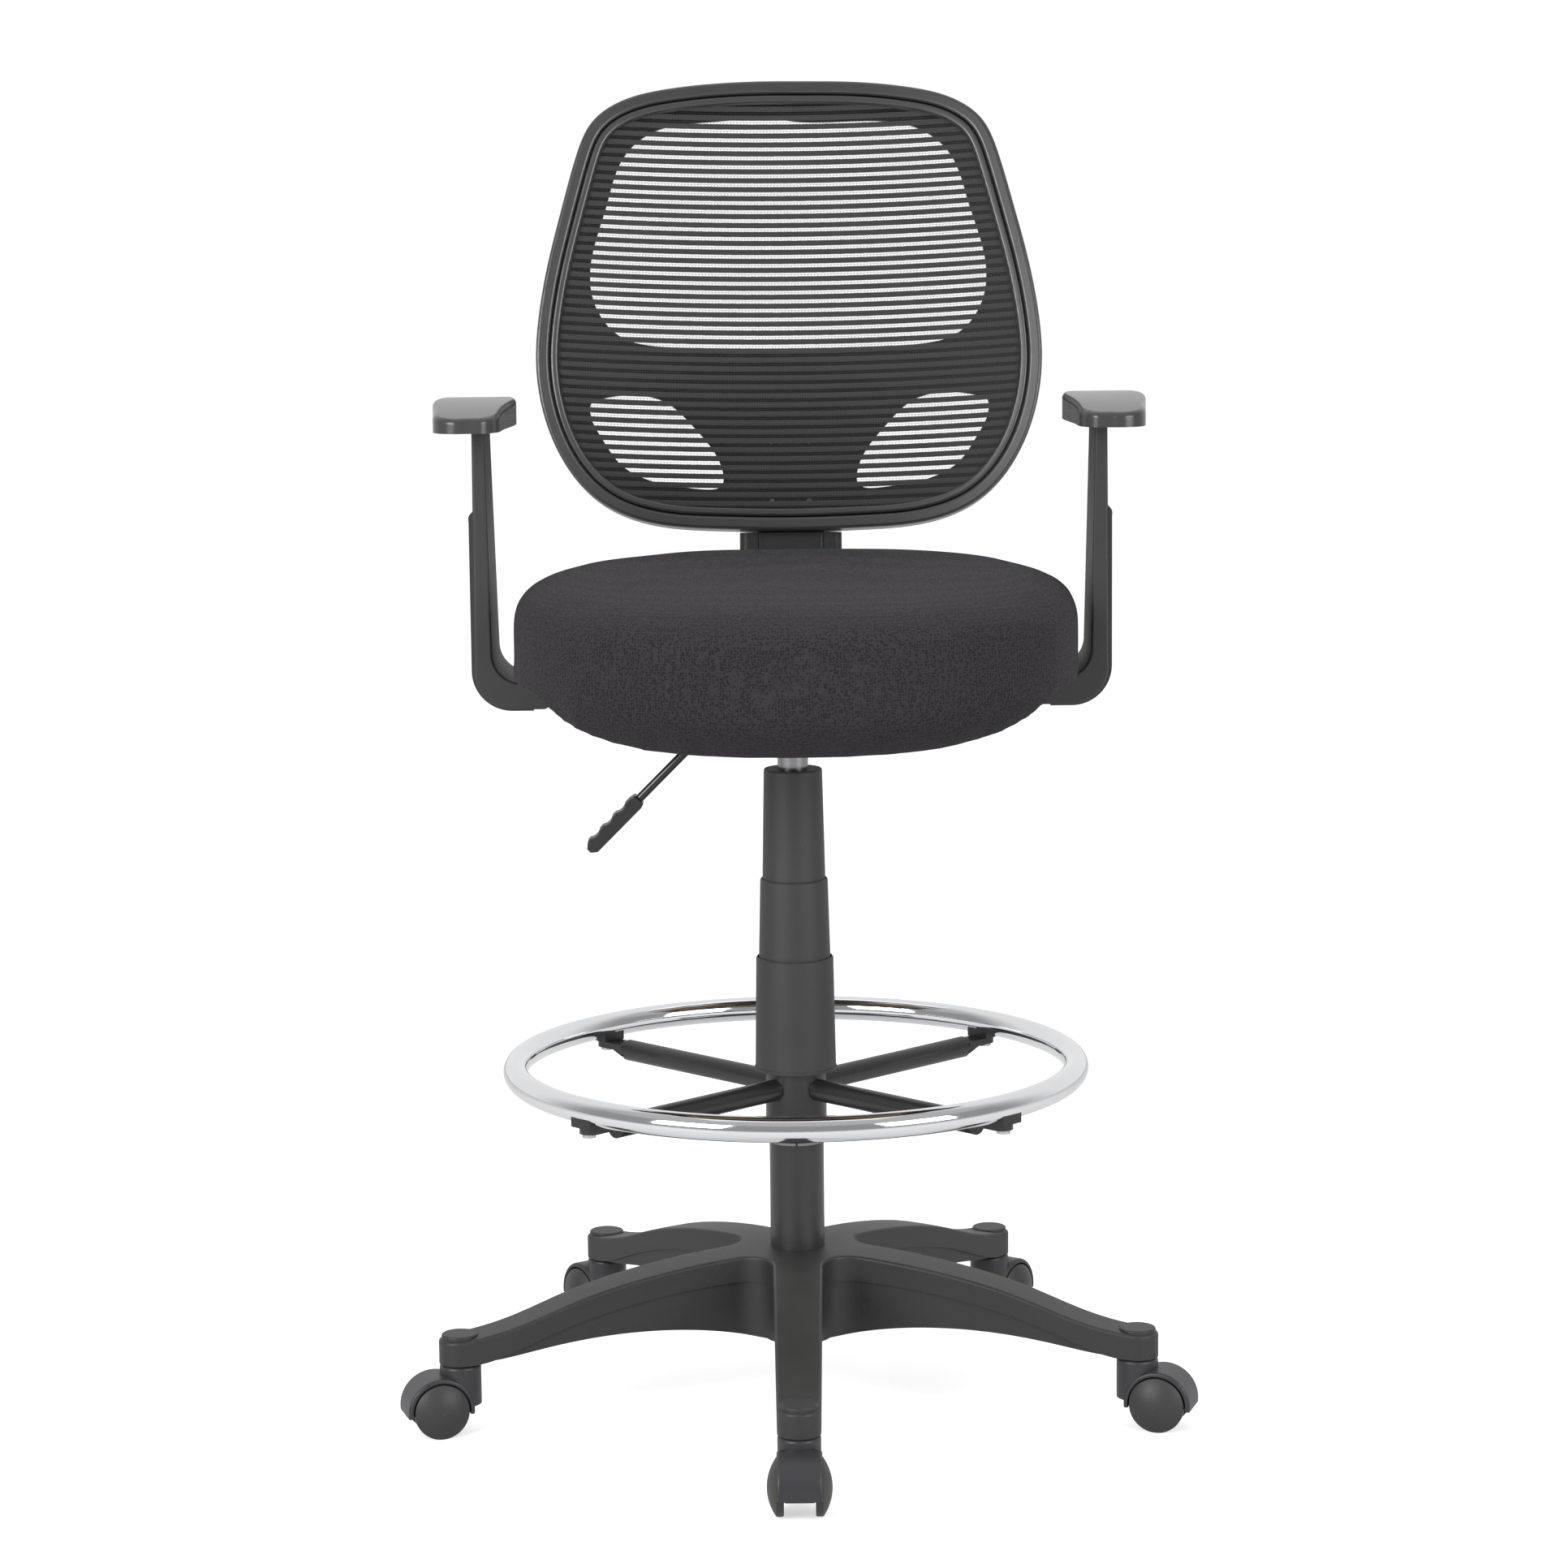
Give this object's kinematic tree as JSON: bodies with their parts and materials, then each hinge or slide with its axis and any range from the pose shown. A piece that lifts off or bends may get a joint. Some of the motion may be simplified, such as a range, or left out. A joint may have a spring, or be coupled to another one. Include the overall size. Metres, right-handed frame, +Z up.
{
  "type": "drafting chair",
  "caption": "Tall swivel drafting chair: mesh back, cushioned seat, fixed armrests, gas lift with telescopic covers, chrome foot ring, star base on twin-wheel casters.",
  "frame": {"origin": "on the floor, on the axis of the column", "axes": "+Z up; the sitter faces -Y; +X is at the sitter's left"},
  "size_m": [0.7232, 0.7499, 1.2122],
  "materials": {
    "base_nylon": "fine moulded grain",
    "caster_hood": "satin moulded",
    "wheel_nylon": "satin moulded",
    "zinc_steel": "bright zinc",
    "black_paint": "satin black powder coat",
    "cylinder_steel": "ground and plated",
    "bearing_plastic": "plain moulded",
    "cover_plastic": "matte moulded",
    "ring_chrome": "polished chrome",
    "knob_plastic": "satin moulded",
    "lever_steel": "gloss black",
    "paddle_plastic": "satin moulded",
    "plywood": "sealed plywood",
    "seat_fabric": "knitted crepe cloth over foam",
    "arm_nylon": "textured moulded",
    "pad_urethane": "soft-touch grain",
    "frame_nylon": "fine grain satin",
    "shell_nylon": "fine grain satin",
    "back_mesh": "open striped knit"
  },
  "bodies": {
    "base": {"star_base": "base_nylon", "caster_stems": "zinc_steel", "column_tube": "black_paint", "guide_bushing": "bearing_plastic", "thrust_bearing": "zinc_steel", "cover_lower": "cover_plastic"},
    "lift_rod": {"piston_rod": "cylinder_steel", "retaining_clip": "zinc_steel"},
    "seat": {"gas_cylinder": "cylinder_steel", "cover_upper": "cover_plastic", "mechanism_housing": "black_paint", "mechanism_socket": "black_paint", "mechanism_bolts": "zinc_steel", "seat_pan": "plywood", "seat_cushion": "seat_fabric", "arm_left": "arm_nylon", "arm_right": "arm_nylon", "arm_pad_left": "pad_urethane", "arm_pad_right": "pad_urethane", "arm_bolts": "zinc_steel", "arm_pad_screws": "zinc_steel", "back_frame": "frame_nylon", "mesh_rim": "frame_nylon", "mesh_panel": "back_mesh", "back_shell": "shell_nylon", "back_bar": "black_paint", "back_bar_cover": "shell_nylon", "back_screws": "zinc_steel"},
    "lever": {"lever_rod": "lever_steel", "lever_paddle": "paddle_plastic"},
    "button": {"release_button": "zinc_steel"},
    "middle_cover": {"cover_middle": "cover_plastic"},
    "ring_liner": {"foot_ring_liner": "bearing_plastic"},
    "foot_ring": {"foot_ring": "ring_chrome", "foot_ring_hub": "black_paint", "foot_ring_spokes": "black_paint", "foot_ring_tabs": "knob_plastic", "foot_ring_screws": "zinc_steel"},
    "ring_knob": {"foot_ring_knob": "knob_plastic"},
    "caster_1": {"caster_1_hood": "caster_hood", "caster_1_axle": "zinc_steel"},
    "caster_1_left": {"caster_1_wheel_left": "wheel_nylon"},
    "caster_1_right": {"caster_1_wheel_right": "wheel_nylon"},
    "caster_2": {"caster_2_hood": "caster_hood", "caster_2_axle": "zinc_steel"},
    "caster_2_left": {"caster_2_wheel_left": "wheel_nylon"},
    "caster_2_right": {"caster_2_wheel_right": "wheel_nylon"},
    "caster_3": {"caster_3_hood": "caster_hood", "caster_3_axle": "zinc_steel"},
    "caster_3_left": {"caster_3_wheel_left": "wheel_nylon"},
    "caster_3_right": {"caster_3_wheel_right": "wheel_nylon"},
    "caster_4": {"caster_4_hood": "caster_hood", "caster_4_axle": "zinc_steel"},
    "caster_4_left": {"caster_4_wheel_left": "wheel_nylon"},
    "caster_4_right": {"caster_4_wheel_right": "wheel_nylon"},
    "caster_5": {"caster_5_hood": "caster_hood", "caster_5_axle": "zinc_steel"},
    "caster_5_left": {"caster_5_wheel_left": "wheel_nylon"},
    "caster_5_right": {"caster_5_wheel_right": "wheel_nylon"}
  },
  "joints": [
    {"name": "seat_swivel", "type": "hinge", "parent": "base", "child": "lift_rod", "pos_m": [0, 0, 0.3], "axis": [0, 0, 1], "continuous": true},
    {"name": "seat_lift", "type": "slide", "parent": "lift_rod", "child": "seat", "axis": [0, 0, 1], "range_m": [-0.15, 0.025]},
    {"name": "lever_pull", "type": "hinge", "parent": "seat", "child": "lever", "pos_m": [-0.036, 0, 0.6675], "axis": [0, 1, 0], "range_deg": [0, 6], "stiffness_Nm_per_rad": 3, "springref_deg": -8.59},
    {"name": "button_press", "type": "slide", "parent": "seat", "child": "button", "axis": [0, 0, -1], "range_m": [0, 0.0037], "stiffness_N_per_m": 400, "springref_m": -0.004},
    {"name": "middle_cover_slide", "type": "slide", "parent": "base", "child": "middle_cover", "axis": [0, 0, 1], "range_m": [-0.0605, 0.0105]},
    {"name": "ring_height", "type": "slide", "parent": "base", "child": "ring_liner", "axis": [0, 0, 1], "range_m": [-0.075, 0]},
    {"name": "ring_turn", "type": "hinge", "parent": "ring_liner", "child": "foot_ring", "pos_m": [0, 0, 0.28], "axis": [0, 0, 1], "continuous": true},
    {"name": "knob_turn", "type": "hinge", "parent": "foot_ring", "child": "ring_knob", "pos_m": [0, 0.04, 0.27], "axis": [0, 1, 0], "continuous": true},
    {"name": "caster_1_swivel", "type": "hinge", "parent": "base", "child": "caster_1", "pos_m": [0, -0.322, 0.05], "axis": [0, 0, 1], "continuous": true},
    {"name": "caster_1_left_spin", "type": "hinge", "parent": "caster_1", "child": "caster_1_left", "pos_m": [0, -0.344, 0.025], "axis": [1, 0, 0], "continuous": true},
    {"name": "caster_1_right_spin", "type": "hinge", "parent": "caster_1", "child": "caster_1_right", "pos_m": [0, -0.344, 0.025], "axis": [1, 0, 0], "continuous": true},
    {"name": "caster_2_swivel", "type": "hinge", "parent": "base", "child": "caster_2", "pos_m": [0.30624, -0.0995, 0.05], "axis": [0, 0, 1], "continuous": true},
    {"name": "caster_2_left_spin", "type": "hinge", "parent": "caster_2", "child": "caster_2_left", "pos_m": [0.32716, -0.1063, 0.025], "axis": [0.309, 0.9511, 0], "continuous": true},
    {"name": "caster_2_right_spin", "type": "hinge", "parent": "caster_2", "child": "caster_2_right", "pos_m": [0.32716, -0.1063, 0.025], "axis": [0.309, 0.9511, 0], "continuous": true},
    {"name": "caster_3_swivel", "type": "hinge", "parent": "base", "child": "caster_3", "pos_m": [0.18927, 0.2605, 0.05], "axis": [0, 0, 1], "continuous": true},
    {"name": "caster_3_left_spin", "type": "hinge", "parent": "caster_3", "child": "caster_3_left", "pos_m": [0.2022, 0.2783, 0.025], "axis": [-0.809, 0.5878, 0], "continuous": true},
    {"name": "caster_3_right_spin", "type": "hinge", "parent": "caster_3", "child": "caster_3_right", "pos_m": [0.2022, 0.2783, 0.025], "axis": [-0.809, 0.5878, 0], "continuous": true},
    {"name": "caster_4_swivel", "type": "hinge", "parent": "base", "child": "caster_4", "pos_m": [-0.18927, 0.2605, 0.05], "axis": [0, 0, 1], "continuous": true},
    {"name": "caster_4_left_spin", "type": "hinge", "parent": "caster_4", "child": "caster_4_left", "pos_m": [-0.2022, 0.2783, 0.025], "axis": [-0.809, -0.5878, 0], "continuous": true},
    {"name": "caster_4_right_spin", "type": "hinge", "parent": "caster_4", "child": "caster_4_right", "pos_m": [-0.2022, 0.2783, 0.025], "axis": [-0.809, -0.5878, 0], "continuous": true},
    {"name": "caster_5_swivel", "type": "hinge", "parent": "base", "child": "caster_5", "pos_m": [-0.30624, -0.0995, 0.05], "axis": [0, 0, 1], "continuous": true},
    {"name": "caster_5_left_spin", "type": "hinge", "parent": "caster_5", "child": "caster_5_left", "pos_m": [-0.32716, -0.1063, 0.025], "axis": [0.309, -0.9511, 0], "continuous": true},
    {"name": "caster_5_right_spin", "type": "hinge", "parent": "caster_5", "child": "caster_5_right", "pos_m": [-0.32716, -0.1063, 0.025], "axis": [0.309, -0.9511, 0], "continuous": true}
  ],
  "couplings": [
    {"joint": "button_press", "follows": "lever_pull", "m_per_rad": 0.0345},
    {"joint": "middle_cover_slide", "follows": "seat_lift", "ratio": 0.4}
  ]
}
